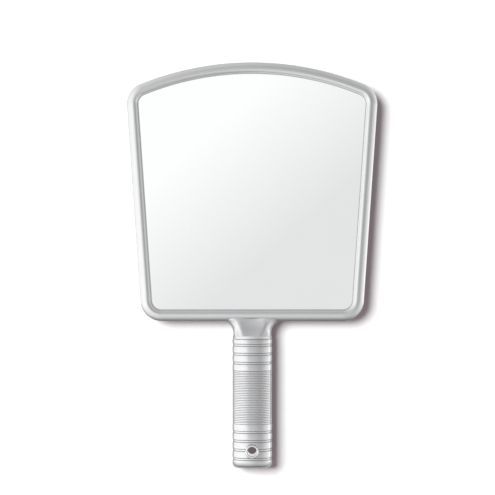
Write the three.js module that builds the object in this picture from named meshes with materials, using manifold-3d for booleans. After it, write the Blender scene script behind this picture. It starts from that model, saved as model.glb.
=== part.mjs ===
// Salon hand mirror: a wide arched glass in a rolled rim, on a ribbed two-shell handle with a hanging eyelet.
// Millimetres. The glass faces -Y, the handle points down and +Z is up. The origin is the middle of the grip.

import * as THREE from 'three';
import { mergeVertices } from 'three/addons/utils/BufferGeometryUtils.js';
import Module from 'manifold-3d';

const wasm = await Module();
wasm.setup();

// ---------------------------------------------------------------- driving dimensions

const GAP = 0.3; // clearance between separate pieces
const REACH = 400; // longer than the whole mirror, for cutting blocks

// Head outline, seen from the front.
const HEAD_BOTTOM = 59.6;
const HEAD_TOP = 262.0;
const HEAD_HALF_WIDTH = 86.3; // where the side line meets the bottom line
const SIDE_TAPER = THREE.MathUtils.degToRad(3.94);
const TOP_ARC_RADIUS = 233;
const CORNER_RADIUS = 16.5;
const CORNER_STEPS = 6;
const TOP_STEPS = 7; // on each half of the top arc

// Head section, front to back. Insets are measured inward from the outline.
const RIM_WIDTH = 9.3;
const RIM_CREST_INSET = 5.5;
const RIM_CREST_Y = -7.4;
const RIM_SHOULDER_Y = -1.2; // where the roll turns into the side wall
const RIM_LIP_Y = -3.8;
const RIM_ROOF_Y = -4.7; // inside of the hollow roll, over the channel that is open at the back
const POCKET_WALL = 1.5; // wall of the roll that stands round the glass
const GLASS_INSET = 8.1;
const GLASS_FRONT_Y = -3.4;
const GLASS_THICKNESS = 3.0;
const GLASS_CHAMFER = 0.4;
const FILM_INSET = 9.1;
const FILM_THICKNESS = 0.3;
const RIM_BACK_Y = 0.4; // parting line between the rim and the rear cover
const COVER_FRONT_Y = 0.8;
const COVER_FLOOR_Y = 4.3;
const COVER_BACK_Y = 6.5;
const COVER_INSET = 0.35;
const COVER_WALL = 1.85; // its inner face is in line with the lip's outer face
const LIP_WALL = 0.9;
const LIP_REACH = 1.2; // the cover's lip and the rear shell's tongue reach this far past the parting line
const COVER_EDGE_RADIUS = 1.6;
const PANEL_INSET = 11.5;
const PANEL_DEPTH = 0.6;

// Foam pads between the glass and the rear cover.
const PAD_WIDTH = 14;
const PAD_LENGTH = 104;
const PAD_SIDE_X = 66;
const PAD_TOP_Z = 231.9;
const PAD_BOTTOM_Z = 84.8;

// Handle and neck.
const HANDLE_END = -55.5;
const HANDLE_HALF_WIDTH = 15.5;
const HANDLE_HALF_DEPTH = 11.4;
const HANDLE_ROUNDNESS = 2.3; // exponent of the oval section
const END_RADIUS = 4.4; // rounding of the end, seen from the front
const END_FACE_RADIUS = 6; // rounding of the end, seen from the side
const RING_DEPTH = 0.65; // how far the ring grooves go in
const RING_CREST = 0.4; // how far the narrow ring between two grooves stands back from the bands
const GROOVE_SLOPE = 0.42; // length of handle over which a band falls into a groove
const BAND_PITCH = 7.02;
const FIRST_BAND = 26.9; // first wide ring on either side of the finely ribbed middle
const WIDE_RING = 1.56; // distance between the two grooves of a wide ring
const NECK_RING = 46.4;
const FINE_DEPTH = 0.42;
const FINE_CREST = 0.22;
const FINE_COUNT = 16;
const FINE_PITCH = 2.667;
const FINE_RING = 1.33;
const NECK_START = 47.9;
const NECK_TOP = 63.0;
const FLARE_START = 49.9;
const FLARE_RADIUS = 11;
const NECK_HALF_WIDTH = 14.8;
const NECK_TOP_FRONT = 8.2;
const NECK_TOP_BACK = 6.4;
const FACET_START = 0.91; // depth of the neck's flat facet where it starts, as a share of the oval's
const FACET_SHARE = 0.79; // the same higher up
const FACET_RUN = 0.4; // share of the neck's height over which the facet gets there
const SHELL_WALL = 1.9;
const SHELL_PARTING = 0.15; // each shell stops this far from the middle plane
const SHELL_REVEAL = 0.9; // the front shell's edge stands this far inside the rear shell's
const POST_SINK = 1.4; // the bosses and posts end this far inside the handle's outside
const SECTION_STEPS = 20;

// Tang of the rear cover, clamped inside the handle.
const TANG_HALF_WIDTH = 9.5;
const TANG_Y = [1.1, 3.8];
const TANG_END = 6;

// Hanging eyelet.
const EYELET_Z = -41.9;
const EYELET_BORE = 3.6;
const EYELET_BARREL = 4.2;
const EYELET_FLANGE = 5.25;
const WASHER_RADIUS = 6.2;
const ROUND_STEPS = 20;

// Screws: head radius, head height, shank radius.
const HANDLE_SCREW = { head: 2.8, height: 1.6, shank: 1.4, seat: 8.7, tip: -6.2 };
const RIM_SCREW = { head: 2.1, height: 1.2, shank: 1.05, seat: 5.0, tip: -2.4 };
const SCREW_CLEARANCE = 0.2;
const SCREW_STEPS = 12;
const HANDLE_SCREW_Z = { upper: 38, middle: 14, lower: -24 };
const RIM_SCREW_INSET = 4.0;
const RIM_BOSS_RADIUS = 2.45;
const RIM_SCREW_BOTTOM_X = 55;
const RIM_SCREW_SIDE_Z = 160;
const RIM_SCREW_TOP_ANGLE = THREE.MathUtils.degToRad(13.5);
const RIM_POST_WALL = 1.1;
const HANDLE_BOSS_WALL = 1.6;
const HANDLE_POST_WALL = 1.2;

// ---------------------------------------------------------------- materials

function silver() {
  return new THREE.MeshStandardMaterial({ color: 0xc6c7c9, roughness: 0.32, metalness: 0.75 });
}

function mirrorFinish() {
  return new THREE.MeshStandardMaterial({ color: 0xeef1f2, roughness: 0.03, metalness: 1 });
}

function film() {
  return new THREE.MeshStandardMaterial({ color: 0x7f8589, roughness: 0.6, metalness: 0 });
}

function foam() {
  return new THREE.MeshStandardMaterial({ color: 0xdedcd4, roughness: 0.95, metalness: 0 });
}

function steel() {
  return new THREE.MeshStandardMaterial({ color: 0xa9abad, roughness: 0.3, metalness: 1 });
}

function nickel() {
  return new THREE.MeshStandardMaterial({ color: 0xe3e3e2, roughness: 0.15, metalness: 1 });
}

// ---------------------------------------------------------------- solids

function geometryFrom(vertices, index) {
  const geometry = new THREE.BufferGeometry();
  geometry.setAttribute('position', new THREE.BufferAttribute(new Float32Array(vertices), 3));
  geometry.setIndex(index);
  return geometry;
}

function signedVolume(points, index) {
  let sum = 0;
  for (let i = 0; i < index.length; i += 3) {
    const [a, b, c] = [points[index[i]], points[index[i + 1]], points[index[i + 2]]];
    sum += a.dot(new THREE.Vector3().crossVectors(b, c));
  }
  return sum / 6;
}

// A closed skin over rings of points. Its ends are closed with a fan, or joined to each other.
function loft(rings, joined = false) {
  const count = rings[0].length;
  const points = rings.flat();
  const index = [];
  const spans = joined ? rings.length : rings.length - 1;
  for (let i = 0; i < spans; i++) {
    const near = i * count;
    const far = ((i + 1) % rings.length) * count;
    for (let j = 0; j < count; j++) {
      const k = (j + 1) % count;
      index.push(near + j, far + j, far + k, near + j, far + k, near + k);
    }
  }
  if (!joined) {
    for (const start of [0, (rings.length - 1) * count]) {
      const centre = new THREE.Vector3();
      for (let j = 0; j < count; j++) {
        centre.addScaledVector(points[start + j], 1 / count);
      }
      const hub = points.push(centre) - 1;
      for (let j = 0; j < count; j++) {
        const k = (j + 1) % count;
        index.push(...(start === 0 ? [hub, start + j, start + k] : [hub, start + k, start + j]));
      }
    }
  }
  if (signedVolume(points, index) < 0) {
    index.reverse();
  }
  return geometryFrom(points.flatMap((p) => p.toArray()), index);
}

function solid(shape) {
  const bare = shape.clone();
  bare.deleteAttribute('normal');
  bare.deleteAttribute('uv');
  const merged = mergeVertices(bare, 1e-5);
  const mesh = new wasm.Mesh({
    numProp: 3,
    vertProperties: new Float32Array(merged.attributes.position.array),
    triVerts: new Uint32Array(merged.index.array),
  });
  return new wasm.Manifold(mesh);
}

function geometry(manifold) {
  const { vertProperties, triVerts } = manifold.getMesh();
  return geometryFrom(vertProperties, Array.from(triVerts));
}

function cut(body, ...tools) {
  return tools.reduce((left, tool) => left.subtract(tool), body);
}

function join(body, ...others) {
  return others.reduce((sum, other) => sum.add(other), body);
}

// A block between two corners.
function block(low, high) {
  const size = high.map((value, i) => value - low[i]);
  const middle = high.map((value, i) => (value + low[i]) / 2);
  return solid(new THREE.BoxGeometry(...size).translate(...middle));
}

// A round bar along Y, from one depth to another.
function bar(x, z, radius, y0, y1, steps = ROUND_STEPS) {
  const shape = new THREE.CylinderGeometry(radius, radius, y1 - y0, steps);
  return solid(shape.translate(x, (y0 + y1) / 2, z));
}

function lathe(outline, steps) {
  const points = outline.map(([radius, y]) => new THREE.Vector2(radius, y));
  return new THREE.LatheGeometry(points, steps);
}

// ---------------------------------------------------------------- head outline

function direction(angle) {
  return new THREE.Vector2(Math.cos(angle), Math.sin(angle));
}

// The centre of the top corner: inside the side line and inside the top arc by the corner radius.
function topCorner(side, along, arcCentre) {
  const start = side.clone().sub(arcCentre);
  const b = start.dot(along);
  const c = start.lengthSq() - (TOP_ARC_RADIUS - CORNER_RADIUS) ** 2;
  return side.clone().addScaledVector(along, -b + Math.sqrt(b * b - c));
}

// Stations round the outline. An inset outline has a point at centre + (radius - inset) * normal of each.
function headStations() {
  const normal = direction(-SIDE_TAPER);
  const along = new THREE.Vector2(-normal.y, normal.x);
  const arcCentre = new THREE.Vector2(0, HEAD_TOP - TOP_ARC_RADIUS);
  const side = new THREE.Vector2(HEAD_HALF_WIDTH, HEAD_BOTTOM).addScaledVector(normal, -CORNER_RADIUS);
  const low = side.clone().addScaledVector(along, (HEAD_BOTTOM + CORNER_RADIUS - side.y) / along.y);
  const high = topCorner(side, along, arcCentre);
  const turn = high.clone().sub(arcCentre).angle();
  const arcs = [
    { centre: low, radius: CORNER_RADIUS, from: -Math.PI / 2, to: -SIDE_TAPER, steps: CORNER_STEPS },
    { centre: high, radius: CORNER_RADIUS, from: -SIDE_TAPER, to: turn, steps: CORNER_STEPS },
    { centre: arcCentre, radius: TOP_ARC_RADIUS, from: turn, to: Math.PI / 2, steps: TOP_STEPS },
  ];
  const right = arcs.flatMap(({ centre, radius, from, to, steps }, order) => {
    const first = order === 2 ? 1 : 0; // the top arc starts where the corner ends
    const list = [];
    for (let i = first; i <= steps; i++) {
      list.push({ centre, radius, normal: direction(from + ((to - from) * i) / steps) });
    }
    return list;
  });
  const left = right.slice(0, -1).reverse().map(({ centre, radius, normal: n }) => ({
    centre: new THREE.Vector2(-centre.x, centre.y),
    radius,
    normal: new THREE.Vector2(-n.x, n.y),
  }));
  return [...right, ...left];
}

const STATIONS = headStations();

function stationPoint({ centre, radius, normal }, inset, y) {
  const p = centre.clone().addScaledVector(normal, radius - inset);
  return new THREE.Vector3(p.x, y, p.y);
}

// A solid plate in the outline's shape, from [inset, y] layers.
function plate(layers) {
  return loft(layers.map(([inset, y]) => STATIONS.map((station) => stationPoint(station, inset, y))));
}

// A section of [inset, y] points carried right round the outline.
function hoop(section) {
  return loft(STATIONS.map((station) => section.map(([inset, y]) => stationPoint(station, inset, y))), true);
}

// Points of a quarter ellipse between two angles, as [inset, y].
function quarter(centre, semi, from, to, steps) {
  const points = [];
  for (let i = 0; i <= steps; i++) {
    const t = THREE.MathUtils.degToRad(from + ((to - from) * i) / steps);
    points.push([centre[0] + semi[0] * Math.cos(t), centre[1] + semi[1] * Math.sin(t)]);
  }
  return points;
}

// ---------------------------------------------------------------- rim and rear cover

// Outer side of the roll, from the side wall to the crest, grown by a clearance.
function rollOutside(grow) {
  const semi = [RIM_CREST_INSET + grow, RIM_SHOULDER_Y - RIM_CREST_Y + grow];
  return quarter([RIM_CREST_INSET, RIM_SHOULDER_Y], semi, 180, 270, 6);
}

function rimScrewPlaces() {
  const sideNormal = direction(-SIDE_TAPER);
  const sideX = HEAD_HALF_WIDTH + (RIM_SCREW_SIDE_Z - HEAD_BOTTOM) * Math.tan(SIDE_TAPER);
  const top = direction(Math.PI / 2 - RIM_SCREW_TOP_ANGLE).multiplyScalar(TOP_ARC_RADIUS - RIM_SCREW_INSET);
  const half = [
    [RIM_SCREW_BOTTOM_X, HEAD_BOTTOM + RIM_SCREW_INSET],
    [sideX - RIM_SCREW_INSET / sideNormal.x, RIM_SCREW_SIDE_Z],
    [top.x, HEAD_TOP - TOP_ARC_RADIUS + top.y],
  ];
  return half.flatMap(([x, z]) => [[-x, z], [x, z]]);
}

const RIM_SCREW_PLACES = rimScrewPlaces();

// A round bar along Y at each rim screw.
function rimBars(radius, y0, y1, steps = 16) {
  return RIM_SCREW_PLACES.map(([x, z]) => bar(x, z, radius, y0, y1, steps));
}

// The rim is a hollow roll, open at the back, with a lip over the glass and a boss for each screw.
function frontBezel() {
  const lipSemi = [RIM_WIDTH - RIM_CREST_INSET, RIM_LIP_Y - RIM_CREST_Y];
  const pocket = GLASS_INSET - GAP;
  const outerWall = COVER_INSET + COVER_WALL - GAP;
  const section = [
    [COVER_INSET, RIM_BACK_Y],
    ...rollOutside(0),
    ...quarter([RIM_CREST_INSET, RIM_LIP_Y], lipSemi, 270, 360, 5).slice(1),
    [RIM_WIDTH, GLASS_FRONT_Y - GAP],
    [pocket, GLASS_FRONT_Y - GAP],
    [pocket, RIM_BACK_Y],
    [pocket - POCKET_WALL, RIM_BACK_Y],
    [pocket - POCKET_WALL, RIM_ROOF_Y],
    [outerWall + 0.5, RIM_ROOF_Y + 0.4],
    [outerWall, RIM_ROOF_Y + 1.9],
    [outerWall, RIM_BACK_Y],
  ];
  const hole = RIM_SCREW.shank + SCREW_CLEARANCE;
  const bosses = rimBars(RIM_BOSS_RADIUS, RIM_ROOF_Y - 0.4, RIM_BACK_Y);
  const pilots = rimBars(hole, RIM_SCREW.tip - GAP, RIM_BACK_Y + 1);
  return geometry(cut(join(solid(hoop(section)), ...bosses), ...pilots));
}

function coverOutside(grow) {
  const radius = COVER_EDGE_RADIUS;
  const centre = [COVER_INSET + radius, COVER_BACK_Y - radius];
  const edge = quarter(centre, [radius + grow, radius + grow], 180, 90, 3);
  return plate([[COVER_INSET - grow, COVER_FRONT_Y - grow], ...edge]);
}

// A thin wall inside the rear cover's edge, which stands inside the rim and is notched for its bosses.
function coverLip() {
  const outer = COVER_INSET + COVER_WALL;
  const inner = outer + LIP_WALL;
  const top = COVER_FRONT_Y - LIP_REACH;
  const foot = COVER_FLOOR_Y + 0.5;
  const wall = hoop([
    [outer, top],
    [inner, top],
    [inner, foot],
    [outer - 0.4, foot],
    [outer - 0.4, COVER_FRONT_Y],
    [outer, COVER_FRONT_Y],
  ]);
  const notches = rimBars(RIM_BOSS_RADIUS + GAP, top - 1, COVER_FRONT_Y);
  return cut(solid(wall), ...notches);
}

// The rear cover is a shallow pan, recessed outside, with screw posts inside and a tang for the handle.
function rearCover() {
  const inner = COVER_INSET + COVER_WALL;
  const cavity = plate([[inner, COVER_FRONT_Y - 1], [inner, COVER_FLOOR_Y]]);
  const panel = plate([
    [PANEL_INSET + PANEL_DEPTH, COVER_BACK_Y - PANEL_DEPTH],
    [PANEL_INSET, COVER_BACK_Y],
    [PANEL_INSET, COVER_BACK_Y + 1],
  ]);
  const hole = RIM_SCREW.shank + SCREW_CLEARANCE;
  const well = RIM_SCREW.head + SCREW_CLEARANCE;
  const post = hole + RIM_POST_WALL;
  const posts = rimBars(post, COVER_FRONT_Y, COVER_FLOOR_Y + 0.5);
  const holes = rimBars(hole, COVER_FRONT_Y - 1, COVER_BACK_Y + 1);
  const wells = rimBars(well, RIM_SCREW.seat - 0.1, COVER_BACK_Y + 1, 20);
  const tang = block(
    [-TANG_HALF_WIDTH, TANG_Y[0], TANG_END],
    [TANG_HALF_WIDTH, TANG_Y[1], HEAD_BOTTOM + COVER_INSET + COVER_WALL],
  );
  const tangHoles = [HANDLE_SCREW_Z.upper, HANDLE_SCREW_Z.middle].map((z) =>
    bar(0, z, HANDLE_SCREW.shank + SCREW_CLEARANCE, TANG_Y[0] - 1, TANG_Y[1] + 1, 16));
  const pan = cut(solid(coverOutside(0)), solid(cavity), solid(panel));
  return geometry(cut(join(pan, coverLip(), ...posts, tang), ...holes, ...wells, ...tangHoles));
}

// ---------------------------------------------------------------- glass, film and pads

function mirrorGlass() {
  const back = GLASS_FRONT_Y + GLASS_THICKNESS;
  return plate([
    [GLASS_INSET + GLASS_CHAMFER, GLASS_FRONT_Y],
    [GLASS_INSET, GLASS_FRONT_Y + GLASS_CHAMFER],
    [GLASS_INSET, back - GLASS_CHAMFER],
    [GLASS_INSET + GLASS_CHAMFER, back],
  ]);
}

function safetyFilm() {
  const front = GLASS_FRONT_Y + GLASS_THICKNESS + GAP;
  return plate([[FILM_INSET, front], [FILM_INSET, front + FILM_THICKNESS]]);
}

function foamPads() {
  const front = GLASS_FRONT_Y + GLASS_THICKNESS + FILM_THICKNESS + 2 * GAP;
  const depth = COVER_FLOOR_Y - GAP - front;
  const middle = (HEAD_BOTTOM + HEAD_TOP) / 2;
  const places = {
    foam_pad_top: [PAD_LENGTH, PAD_WIDTH, 0, PAD_TOP_Z],
    foam_pad_bottom: [PAD_LENGTH, PAD_WIDTH, 0, PAD_BOTTOM_Z],
    foam_pad_left: [PAD_WIDTH, PAD_LENGTH, -PAD_SIDE_X, middle],
    foam_pad_right: [PAD_WIDTH, PAD_LENGTH, PAD_SIDE_X, middle],
  };
  return Object.entries(places).map(([name, [width, height, x, z]]) => {
    const pad = new THREE.Mesh(new THREE.BoxGeometry(width, depth, height), foam());
    pad.name = name;
    pad.position.set(x, front + depth / 2, z);
    return pad;
  });
}

// ---------------------------------------------------------------- handle

// The height and the inset of each step of the ring grooves, from the bottom up.
function ringSteps() {
  const wide = (z, top) => [
    { z: z - WIDE_RING / 2 - GROOVE_SLOPE, inset: 0 },
    { z: z - WIDE_RING / 2, inset: RING_DEPTH },
    { z, inset: RING_CREST },
    { z: z + WIDE_RING / 2, inset: RING_DEPTH },
    { z: z + WIDE_RING / 2 + GROOVE_SLOPE, inset: top },
  ];
  const centres = [0, 1, 2, 3].map((i) => FIRST_BAND + BAND_PITCH * i);
  const steps = [
    ...centres.flatMap((z) => wide(-z, 0)),
    ...centres.slice(0, 3).flatMap((z) => wide(z, 0)),
    ...wide(NECK_RING, RING_CREST),
  ];
  for (let i = 0; i < FINE_COUNT; i++) {
    const z = (i - (FINE_COUNT - 1) / 2) * FINE_PITCH;
    steps.push({ z: z - FINE_PITCH / 2, inset: 0 });
    steps.push({ z: z - FINE_RING / 2, inset: FINE_DEPTH });
    steps.push({ z, inset: FINE_CREST });
    steps.push({ z: z + FINE_RING / 2, inset: FINE_DEPTH });
  }
  steps.push({ z: (FINE_COUNT / 2) * FINE_PITCH, inset: 0 });
  return steps.sort((a, b) => a.z - b.z);
}

function neckShare(z) {
  return THREE.MathUtils.clamp((z - NECK_START) / (HEAD_BOTTOM - NECK_START), 0, 1);
}

// How far a rounded end has drawn in at one height above its face.
function endTrim(radius, above) {
  const short = THREE.MathUtils.clamp(radius - above, 0, radius);
  return radius - Math.sqrt(radius ** 2 - short ** 2);
}

// Half the handle's width, its depth to the front and to the back, and the depth of the neck's facet.
function handleSize(z, inset, reveal = 0) {
  const share = neckShare(z);
  const above = z - HANDLE_END - reveal;
  let width = HANDLE_HALF_WIDTH;
  if (z > NECK_START) {
    const rise = THREE.MathUtils.clamp(z - FLARE_START, 0, FLARE_RADIUS * 0.97);
    width = NECK_HALF_WIDTH + FLARE_RADIUS - Math.sqrt(FLARE_RADIUS ** 2 - rise ** 2);
  }
  const trim = endTrim(END_FACE_RADIUS, above) + inset;
  const front = THREE.MathUtils.lerp(HANDLE_HALF_DEPTH, NECK_TOP_FRONT, 1 - (1 - share) ** 1.5);
  const back = THREE.MathUtils.lerp(HANDLE_HALF_DEPTH, NECK_TOP_BACK, share ** 1.2);
  const run = THREE.MathUtils.smoothstep(share, 0, FACET_RUN);
  const facet = share > 0 ? THREE.MathUtils.lerp(FACET_START, FACET_SHARE, run) : 1;
  return {
    width: width - endTrim(END_RADIUS, above) - inset - reveal,
    front: front - trim,
    back: back - trim,
    facet: front * facet - inset,
  };
}

// The handle's section at one height. The neck's facet cuts the front of the oval off flat.
function oval(z, size, withFacet) {
  const power = 2 / HANDLE_ROUNDNESS;
  const points = [];
  for (let i = 0; i < SECTION_STEPS; i++) {
    const angle = (2 * Math.PI * i) / SECTION_STEPS;
    const c = Math.cos(angle);
    const s = Math.sin(angle);
    const x = size.width * Math.sign(c) * Math.abs(c) ** power;
    const depth = s < 0 ? size.front : size.back;
    const y = depth * Math.sign(s) * Math.abs(s) ** power;
    points.push(new THREE.Vector3(x, withFacet ? Math.max(y, -size.facet) : y, z));
  }
  return points;
}

function handleOutside(reveal) {
  const end = [0, 0.4, 1.3, 2.7, 4.3].map((above) => HANDLE_END + reveal + above);
  const neck = [NECK_START, 48, 49, 50.2, 51.6, 53.2, 55, 56.8, 58.2, 59.4, 60.4, 61.4, NECK_TOP];
  const plain = (z) => ({ z, inset: 0 });
  const steps = [...end.map(plain), ...ringSteps(), ...neck.map(plain)];
  return loft(steps.map(({ z, inset }) => oval(z, handleSize(z, inset, reveal), true)));
}

// The inside of the handle at one wall thickness, open at the top of the neck.
function handleHollow(wall) {
  const neck = [49.5, 52, 55, 57.6, 59.5, 61, NECK_TOP + 1];
  const heights = [HANDLE_END + wall, -51.6, -49.8, -46, 44, NECK_START - 1, ...neck];
  const ribbed = (z) => (z < NECK_START ? RING_DEPTH : 0);
  return solid(loft(heights.map((z) => oval(z, handleSize(z, wall + ribbed(z)), true))));
}

// What the head takes away from the top of the neck.
function headClearance() {
  const roll = [
    ...rollOutside(GAP),
    [RIM_WIDTH + 1, RIM_CREST_Y - GAP],
    [RIM_WIDTH + 1, COVER_FRONT_Y],
    [-GAP, COVER_FRONT_Y],
  ];
  return [solid(hoop(roll)), solid(coverOutside(GAP))];
}

const HALF = {
  front: { side: block([-REACH, -REACH, -REACH], [REACH, -SHELL_PARTING, REACH]), reveal: SHELL_REVEAL },
  back: { side: block([-REACH, SHELL_PARTING, -REACH], [REACH, REACH, REACH]), reveal: 0 },
};

function handleShell({ side, reveal }) {
  const body = cut(solid(handleOutside(reveal)), handleHollow(SHELL_WALL), ...headClearance());
  const hole = bar(0, EYELET_Z, EYELET_BARREL + GAP, -REACH, REACH);
  return cut(body.intersect(side), hole);
}

// The rear shell's tongue stands inside the front shell and closes the parting line.
function handleTongue() {
  const slab = (y0) => block([-REACH, y0, -REACH], [REACH, LIP_REACH + 0.4, REACH]);
  const wall = handleHollow(SHELL_WALL + GAP).intersect(slab(-LIP_REACH));
  const root = handleHollow(SHELL_WALL - 0.4).intersect(slab(SHELL_PARTING));
  return cut(join(wall, root), handleHollow(SHELL_WALL + GAP + LIP_WALL), ...headClearance());
}

// The front shell has a blind boss for each screw and a seat for the eyelet's flange.
function handleFront() {
  const hole = HANDLE_SCREW.shank + SCREW_CLEARANCE;
  const heights = Object.values(HANDLE_SCREW_Z);
  const front = POST_SINK - HANDLE_HALF_DEPTH;
  const bosses = heights.map((z) => bar(0, z, hole + HANDLE_BOSS_WALL, front, TANG_Y[0] - GAP, 20));
  const pilots = heights.map((z) => bar(0, z, hole, HANDLE_SCREW.tip - GAP, REACH, 16));
  const seat = bar(0, EYELET_Z, EYELET_FLANGE + GAP, -REACH, -HANDLE_HALF_DEPTH + RING_DEPTH);
  return geometry(cut(join(handleShell(HALF.front), ...bosses), ...pilots, seat));
}

// The rear shell has a post and a well for each screw head, and a seat for the eyelet's washer.
function handleBack() {
  const hole = HANDLE_SCREW.shank + SCREW_CLEARANCE;
  const well = HANDLE_SCREW.head + SCREW_CLEARANCE;
  const posts = Object.entries(HANDLE_SCREW_Z).map(([name, z]) => {
    const foot = name === 'lower' ? TANG_Y[0] : TANG_Y[1] + GAP;
    return bar(0, z, well + HANDLE_POST_WALL, foot, HANDLE_HALF_DEPTH - POST_SINK, 20);
  });
  const heights = Object.values(HANDLE_SCREW_Z);
  const holes = heights.map((z) => bar(0, z, hole, 0, REACH, 16));
  const wells = heights.map((z) => bar(0, z, well, HANDLE_SCREW.seat - 0.1, REACH, 20));
  const seat = bar(0, EYELET_Z, WASHER_RADIUS + GAP, HANDLE_HALF_DEPTH - RING_DEPTH, REACH);
  return geometry(cut(join(handleShell(HALF.back), handleTongue(), ...posts), ...holes, ...wells, seat));
}

// ---------------------------------------------------------------- eyelet and screws

// A barrel with a rounded flange in front and a lip rolled over the washer behind.
function eyelet() {
  const seat = -HANDLE_HALF_DEPTH + RING_DEPTH - 0.1;
  const lip = HANDLE_HALF_DEPTH + 0.1;
  return lathe([
    [EYELET_BORE, seat - 0.6],
    [EYELET_BORE + 0.25, seat - 1.0],
    [EYELET_BARREL, seat - 1.15],
    [EYELET_FLANGE - 0.4, seat - 0.95],
    [EYELET_FLANGE, seat - 0.5],
    [EYELET_FLANGE, seat],
    [EYELET_BARREL, seat],
    [EYELET_BARREL, lip - 0.3],
    [EYELET_BARREL + 0.5, lip],
    [EYELET_BARREL + 0.5, lip + 0.4],
    [EYELET_BARREL, lip + 0.6],
    [EYELET_BORE, lip + 0.3],
    [EYELET_BORE, seat - 0.6],
  ], ROUND_STEPS);
}

function washer() {
  const near = HANDLE_HALF_DEPTH - RING_DEPTH + 0.1;
  const far = HANDLE_HALF_DEPTH - 0.1;
  const bore = EYELET_BARREL + 0.2;
  return lathe([
    [bore, near],
    [WASHER_RADIUS, near],
    [WASHER_RADIUS, far - 0.3],
    [WASHER_RADIUS - 0.3, far],
    [bore, far],
    [bore, near],
  ], ROUND_STEPS);
}

// A pan-head screw with a cross recess, its head's underside at y = 0 and its tip towards -Y.
function screw({ head, height, shank, seat, tip }) {
  const length = seat - tip;
  const body = solid(lathe([
    [0, -length],
    [shank * 0.45, -length],
    [shank, -length + shank],
    [shank, 0],
    [head, 0],
    [head, height * 0.55],
    [head * 0.8, height * 0.9],
    [head * 0.45, height],
    [0, height],
  ], SCREW_STEPS));
  const slot = [head * 0.55, head * 0.14];
  const depth = height * 0.45;
  const recess = [slot, [...slot].reverse()].map(([x, z]) => block([-x, depth, -z], [x, height + 1, z]));
  return geometry(cut(body, ...recess));
}

// ---------------------------------------------------------------- assembly

function piece(name, shape, material) {
  const mesh = new THREE.Mesh(shape, material);
  mesh.name = name;
  return mesh;
}

function head() {
  const group = new THREE.Group();
  group.add(piece('front_bezel', frontBezel(), silver()));
  group.add(piece('rear_cover', rearCover(), silver()));
  group.add(piece('mirror_glass', mirrorGlass(), mirrorFinish()));
  group.add(piece('safety_film', safetyFilm(), film()));
  group.add(...foamPads());
  RIM_SCREW_PLACES.forEach(([x, z], i) => {
    const fastener = piece(`rim_screw_${i + 1}`, screw(RIM_SCREW), steel());
    fastener.position.set(x, RIM_SCREW.seat, z);
    group.add(fastener);
  });
  return group;
}

function handle() {
  const group = new THREE.Group();
  group.add(piece('handle_front_shell', handleFront(), silver()));
  group.add(piece('handle_rear_shell', handleBack(), silver()));
  const hanger = new THREE.Group();
  hanger.position.z = EYELET_Z;
  hanger.add(piece('hanging_eyelet', eyelet(), nickel()));
  hanger.add(piece('eyelet_washer', washer(), nickel()));
  group.add(hanger);
  for (const [name, z] of Object.entries(HANDLE_SCREW_Z)) {
    const fastener = piece(`handle_screw_${name}`, screw(HANDLE_SCREW), steel());
    fastener.position.set(0, HANDLE_SCREW.seat, z);
    group.add(fastener);
  }
  return group;
}

const handMirror = new THREE.Group();
handMirror.add(head(), handle());

export default handMirror;
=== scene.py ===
# Looks of the salon hand mirror: fine meshes for its shells, rim, glass and fasteners, and their materials.
# Lengths are in millimetres until mesh_object turns them into metres. The glass faces -Y and +Z is up.

import math

import bmesh
import bpy
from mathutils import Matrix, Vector


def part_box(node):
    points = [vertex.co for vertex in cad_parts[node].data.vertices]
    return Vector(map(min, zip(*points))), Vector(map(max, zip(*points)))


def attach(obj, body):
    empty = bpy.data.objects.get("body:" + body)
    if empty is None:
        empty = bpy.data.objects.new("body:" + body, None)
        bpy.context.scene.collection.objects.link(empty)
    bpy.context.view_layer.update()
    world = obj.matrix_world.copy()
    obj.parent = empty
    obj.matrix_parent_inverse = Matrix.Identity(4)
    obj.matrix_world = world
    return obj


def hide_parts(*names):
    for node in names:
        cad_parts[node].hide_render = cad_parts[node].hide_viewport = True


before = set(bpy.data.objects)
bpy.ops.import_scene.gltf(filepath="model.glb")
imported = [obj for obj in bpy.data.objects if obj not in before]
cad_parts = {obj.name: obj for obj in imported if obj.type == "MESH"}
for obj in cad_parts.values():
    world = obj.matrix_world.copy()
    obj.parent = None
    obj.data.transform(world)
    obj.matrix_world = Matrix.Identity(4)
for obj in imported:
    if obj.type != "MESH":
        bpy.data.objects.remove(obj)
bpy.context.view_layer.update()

MM = 0.001

# ---------------------------------------------------------------- sizes from the frame


def box_mm(node):
    """Low and high corner of a CAD node's box, in millimetres."""
    low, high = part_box(node)
    return low / MM, high / MM


RIM_LOW, RIM_HIGH = box_mm("front_bezel")
GLASS_LOW, GLASS_HIGH = box_mm("mirror_glass")
EYELET_LOW, EYELET_HIGH = box_mm("hanging_eyelet")
WASHER_LOW, WASHER_HIGH = box_mm("eyelet_washer")

FIT = 0.07  # hairline between pieces that touch
GAP = 0.3  # clearance between pieces that stand apart

# Head outline.
HEAD_BOTTOM = RIM_LOW.z
HEAD_TOP = RIM_HIGH.z
HEAD_HALF_WIDTH = 86.3  # where the side line meets the bottom line
SIDE_TAPER = math.radians(3.94)
TOP_ARC_RADIUS = 233
CORNER_RADIUS = 16.5
CORNER_STEPS = 28
TOP_STEPS = 36
ROLL_STEPS = 20

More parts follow.
